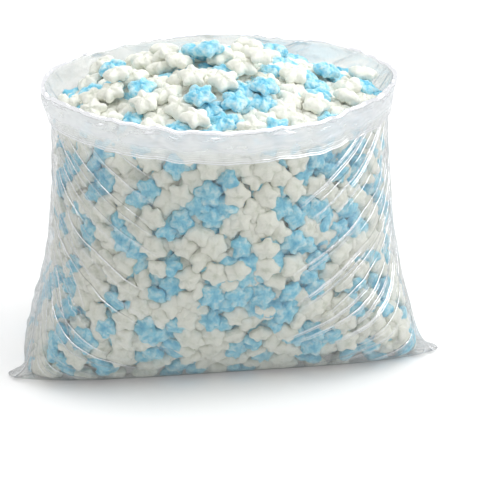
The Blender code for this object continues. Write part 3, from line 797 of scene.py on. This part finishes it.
def clear_film():
    """Clear low-density polythene: slightly milky, whiter at its creases and where it is doubled, with
    painted highlights on creases, rim, hem and glints.
    """
    material, tree, out = new_material("low-density polythene film, blown")
    place = add(tree, "TexCoord").outputs["Object"]
    haze = add(tree, "Attribute", attribute_name="haze").outputs["Fac"]
    cuff = add(tree, "Attribute", attribute_name="cuff").outputs["Fac"]
    flow = add(tree, "Attribute", attribute_name="flow").outputs["Vector"]
    strong = add(tree, "Attribute", attribute_name="creases").outputs["Vector"]
    flows = add(tree, "SeparateXYZ", (flow,)).outputs
    strengths = add(tree, "SeparateXYZ", (strong,)).outputs
    # The lines stray within about 38 mm, and clearer and milkier patches are about 33 mm wide.
    sway = add(tree, "TexNoise", {"Vector": place, "Scale": 26.0, "Detail": 2.0})
    patchy = add(tree, "TexNoise", {"Vector": place, "Scale": 30.0, "Detail": 1.0})

    def band(value, middle, half):
        """1 at the middle, falling to 0 on both sides of it."""
        off = add(tree, "Math", (value, middle), operation="SUBTRACT")
        off = add(tree, "Math", (off,), operation="ABSOLUTE")
        return add(tree, "MapRange", (off, 0.0, half, 1.0, 0.0), interpolation_type="SMOOTHSTEP")

    def line(number, pitch, beside, half):
        """A stroke along every crease of a flow: so far beside it and half so wide, in metres."""
        swayed = add(tree, "Math", (sway, LINE_SWAY / pitch, flows[number]), operation="MULTIPLY_ADD")
        share = add(tree, "Math", (swayed,), operation="FRACT")
        return band(share, 0.5 + LINE_SWAY / 2 / pitch + beside / pitch, half / pitch)

    # A crease is a broken hairline of whitened film and painted highlight, with painted shade beside it.
    # The broad strokes are
    #  painted highlights of larger folds. The real hairlines are finer than the render can show.
    breaks = add(tree, "MapRange", (patchy, 0.36, 0.50))
    breaks = add(tree, "Math", (strengths[0], breaks), operation="MULTIPLY")
    thin = add(tree, "Math", (line(0, CREASE_PITCH, *THIN_LINE), breaks), operation="MULTIPLY")
    painted_crease_shade = add(tree, "Math", (line(0, CREASE_PITCH, *DARK_LINE), strengths[0]), operation="MULTIPLY")
    crossing = add(tree, "Math", (line(1, CROSS_PITCH, *THIN_LINE), strengths[1]), operation="MULTIPLY")
    twin = add(tree, "Math", (line(0, CREASE_PITCH, *TWIN_LINE), strengths[2]), operation="MULTIPLY")
    broad = add(tree, "Math", (line(0, CREASE_PITCH, *BROAD_LINE), strengths[2]), operation="MULTIPLY")
    lines = add(tree, "Math", (crossing, twin), operation="MAXIMUM")
    lines = add(tree, "Math", (thin, lines), operation="MAXIMUM")

    # The cuff has streaks down it, painted glints under the fold, a painted highlight along the rim and
    # painted highlight lines at its hem.
    along_rim = add(tree, "Math", (flows[2], 34.0), operation="MULTIPLY")
    down_cuff = add(tree, "Math", (cuff, 5.0), operation="MULTIPLY")
    on_cuff = add(tree, "CombineXYZ", (along_rim, down_cuff))
    streaks = add(tree, "TexNoise", {"Vector": on_cuff, "Scale": 1.0, "Detail": 2.0, "Roughness": 0.5})
    glints = add(tree, "MapRange", (streaks, 0.55, 0.60))
    glints = add(tree, "Math", (band(cuff, 0.12, 0.15), glints), operation="MULTIPLY")
    past_wall = add(tree, "Math", (cuff, -0.01), operation="GREATER_THAN")
    rim = add(tree, "Math", (band(cuff, 0.0, RIM_LINE), past_wall), operation="MULTIPLY")
    painted_highlights = add(tree, "Math", (rim, glints), operation="MAXIMUM")
    for middle, half, share in HEM_LINES:
        hem = add(tree, "Math", (band(cuff, middle, half), share), operation="MULTIPLY")
        painted_highlights = add(tree, "Math", (painted_highlights, hem), operation="MAXIMUM")

    # Doubled film is milky, less so towards the hem, and unevenly.
    body = add(tree, "MapRange", (cuff, 0.58, 0.74, 1.0, 0.42))
    streaked = add(tree, "MapRange", (streaks, 0.35, 0.65, 0.90, 1.10))
    clouded = add(tree, "MapRange", (patchy, 0.30, 0.70, 0.80, 1.16))
    milk = haze
    for share in (body, streaked, clouded):
        milk = add(tree, "Math", (milk, share), operation="MULTIPLY")

    # Lines and strokes stand up a little, over a soft crumple of about 17 mm.
    height = add(tree, "Math", (broad, 0.8, lines), operation="MULTIPLY_ADD")
    height = add(tree, "Math", (painted_highlights, 0.9, height), operation="MULTIPLY_ADD")
    relief = add(tree, "Bump", {"Height": height, "Strength": 0.6, "Distance": 0.0012})
    crumple = add(tree, "TexNoise", {"Vector": place, "Scale": 60.0, "Detail": 4.0, "Roughness": 0.6})
    soft = add(tree, "Bump", {"Height": crumple, "Normal": relief, "Strength": 0.35, "Distance": 0.0020})

    # How much of the film's own white is seen, and how much of what it shows is a reflection.
    facing = add(tree, "LayerWeight", {"Blend": 0.30}).outputs["Facing"]
    seen = 0.01
    for what, share in ((milk, 0.58), (facing, 0.16), (broad, 0.10), (lines, 0.25)):
        seen = add(tree, "Math", (what, share, seen), operation="MULTIPLY_ADD")
    covered = add(tree, "Math", (painted_highlights, 0.8), operation="MULTIPLY")
    covered = add(tree, "Math", (1.0, covered), operation="SUBTRACT")
    seen = add(tree, "Math", (seen, covered), operation="MULTIPLY")
    glancing = add(tree, "LayerWeight", {"Normal": soft, "Blend": 0.5}).outputs["Facing"]
    shine = add(tree, "Math", (glancing, 4.0), operation="POWER")
    shine = add(tree, "Math", (shine, 0.40, 0.030), operation="MULTIPLY_ADD")
    # Creases, broad strokes, rim, glints and hem lines raise the share of reflection there: painted
    # highlights.
    for what, share in ((broad, 0.55), (lines, 0.85), (painted_highlights, 0.8)):
        shine = add(tree, "Math", (what, share, shine), operation="MULTIPLY_ADD")
    shine = add(tree, "Math", (shine, 0.92), operation="MINIMUM")

    # What is seen through it is a touch warmer, and darker below the cuff and beside a hairline, as
    # painted shade.
    level = add(tree, "SeparateXYZ", (place,)).outputs[2]
    painted_shade_below_cuff = add(tree, "MapRange", (level, 0.235, 0.265, 0.94, 0.998))
    tint = add(tree, "MapRange", (painted_crease_shade, 0.0, 1.0, 1.0, 0.78))
    tint = add(tree, "Math", (tint, painted_shade_below_cuff), operation="MULTIPLY")
    blue = add(tree, "Math", (tint, 0.994), operation="MULTIPLY")
    through_colour = add(tree, "CombineColor", (tint, tint, blue))
    through = add(tree, "BsdfTransparent", {"Color": through_colour})
    gloss = add(tree, "BsdfGlossy", {"Color": linear("FAFBFE"), "Roughness": 0.12, "Normal": soft})
    clear = add(tree, "MixShader", (shine, through, gloss))
    white = linear("F3F5F7")
    outside = add(tree, "BsdfDiffuse", {"Color": white, "Normal": soft})
    inside = add(tree, "BsdfTranslucent", {"Color": white, "Normal": soft})
    scattered = add(tree, "MixShader", (0.40, outside, inside))
    sheen = add(tree, "BsdfGlossy", {"Color": white, "Roughness": 0.20, "Normal": soft})
    milky = add(tree, "MixShader", (0.50, scattered, sheen))
    skin = add(tree, "MixShader", (seen, clear, milky))
    tree.links.new(skin.outputs[0], out.inputs["Surface"])
    return material


bag = new_object("film_bag_blown", film)
dress(bag, clear_film(), "clear_polythene", "film_bag")
thickness = bag.modifiers.new("film thickness", "SOLIDIFY")
thickness.thickness = FILM_SHOWN
thickness.offset = -1


# Floor, light and camera
# A plain white floor that keeps the soft shadow, a white surround and wide soft lamps above,
# and a long lens at the photograph's height.

FLOOR_WHITE = "ECECEC"
FLOOR_FILL = 0.20  # light that only the camera sees on the floor
SKY = 0.62
LAMPS = (  # name, turn and lean in degrees, strength, and spread in degrees
    ("key lamp", 72, 50, 1.38, 44),
    ("top lamp", 150, 10, 1.18, 76),
)
CAMERA_AT = Vector((-0.2074, -1.6775, 0.8621))
CAMERA_TO = Vector((0.0215, -0.0491, 0.13))
LENS = 133.5

ground = bmesh.new()
bmesh.ops.create_grid(ground, x_segments=1, y_segments=1, size=12.0)
data = bpy.data.meshes.new("floor")
ground.to_mesh(data)
ground.free()
floor = bpy.data.objects.new("floor", data)
bpy.context.scene.collection.objects.link(floor)
material, tree, out = new_material("white studio floor, painted")
rays = add(tree, "LightPath").outputs
matt = add(tree, "BsdfDiffuse", {"Color": linear(FLOOR_WHITE)})
lift = add(tree, "Math", (rays["Is Camera Ray"], FLOOR_FILL), operation="MULTIPLY")
glow = add(tree, "Emission", {"Strength": lift})
both = add(tree, "AddShader", (matt, glow))
tree.links.new(both.outputs[0], out.inputs["Surface"])
data.materials.append(material)

world = bpy.data.worlds.new("white surround")
bpy.context.scene.world = world
world.use_nodes = True
world.node_tree.nodes.clear()
tree = world.node_tree
rays = add(tree, "LightPath").outputs
shown = add(tree, "Math", (rays["Is Camera Ray"], rays["Is Glossy Ray"]), operation="MAXIMUM")
shown = add(tree, "Math", (shown, rays["Is Transmission Ray"]), operation="MAXIMUM")
level = add(tree, "MapRange", (shown, 0.0, 1.0, SKY, 1.0))
sky = add(tree, "Background", {"Color": (1, 1, 1, 1), "Strength": level})
out = add(tree, "OutputWorld")
tree.links.new(sky.outputs[0], out.inputs["Surface"])

for name, turn, lean, power, spread in LAMPS:
    lamp = bpy.data.lights.new(name, "SUN")
    lamp.energy = power
    lamp.angle = math.radians(spread)
    holder = bpy.data.objects.new(name, lamp)
    holder.rotation_euler = (math.radians(lean), 0, math.radians(turn))
    bpy.context.scene.collection.objects.link(holder)

lens = bpy.data.cameras.new("camera")
lens.lens = LENS
lens.sensor_width = 36.0
camera = bpy.data.objects.new("camera", lens)
camera.location = CAMERA_AT
camera.rotation_euler = (CAMERA_TO - CAMERA_AT).to_track_quat("-Z", "Y").to_euler()
bpy.context.scene.collection.objects.link(camera)
bpy.context.scene.camera = camera
bpy.context.scene.cycles.transparent_max_bounces = 32
bpy.context.scene.view_settings.view_transform = "Standard"
